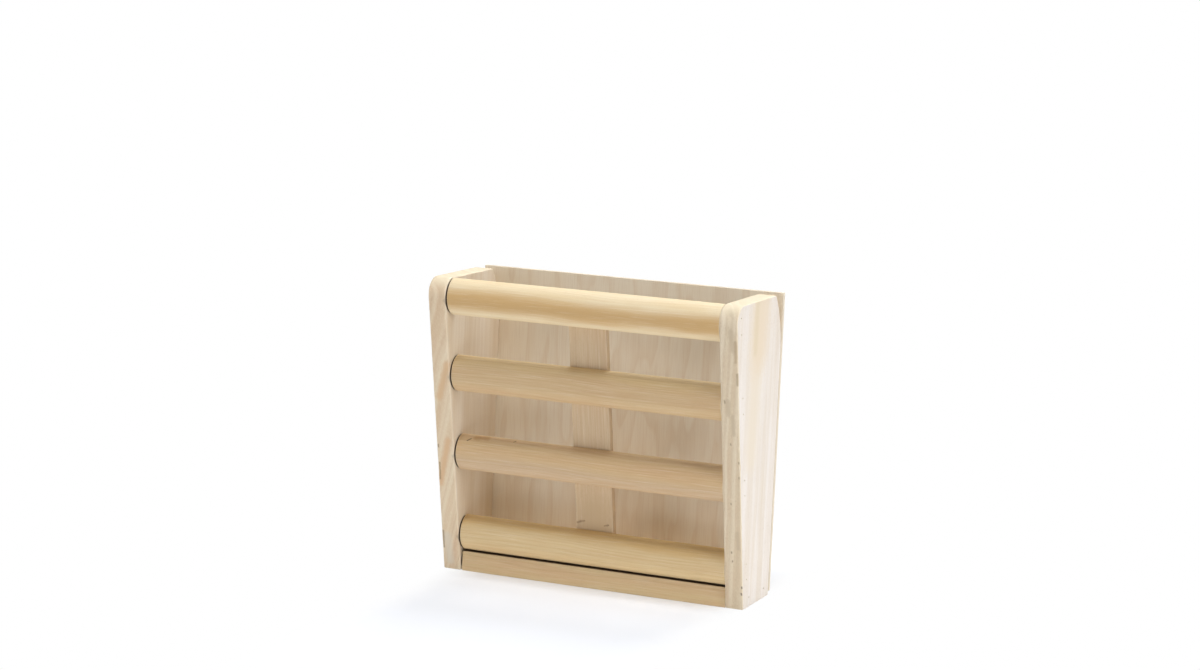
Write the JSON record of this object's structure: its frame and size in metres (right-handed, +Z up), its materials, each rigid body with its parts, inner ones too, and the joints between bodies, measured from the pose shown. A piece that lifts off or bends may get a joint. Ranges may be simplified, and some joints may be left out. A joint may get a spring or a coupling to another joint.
{
  "type": "hay feeder box",
  "caption": "Small free-standing wooden hay rack: tapered side panels, half-round front rails over a centre slat, floor board, thin back panel, open top.",
  "frame": {"origin": "middle of the bounding box, on the surface that the feeder stands on", "axes": "+X to the right as seen from the front, across the width; +Y from the front rails to the back panel; +Z up"},
  "size_m": [0.2, 0.0824, 0.1875],
  "materials": {
    "side_board": "planed and sanded softwood, no finish",
    "rail_wood": "sanded half-round softwood moulding, no finish",
    "slat_wood": "planed softwood, no finish",
    "floor_wood": "planed softwood, no finish",
    "plywood": "three-ply sheet, sanded faces, no finish",
    "pin_steel": "bright drawn wire",
    "nail_steel": "bright drawn wire, flat heads"
  },
  "bodies": {
    "root": {"left_side_panel": "side_board", "right_side_panel": "side_board", "top_rail": "rail_wood", "upper_rail": "rail_wood", "lower_rail": "rail_wood", "bottom_rail": "rail_wood", "centre_slat": "slat_wood", "floor_board": "floor_wood", "back_panel": "plywood", "top_rail_pins": "pin_steel", "upper_rail_pins": "pin_steel", "lower_rail_pins": "pin_steel", "bottom_rail_pins": "pin_steel", "floor_board_pins": "pin_steel", "left_back_nails": "nail_steel", "right_back_nails": "nail_steel", "floor_back_nails": "nail_steel", "slat_nails": "nail_steel"}
  },
  "joints": []
}
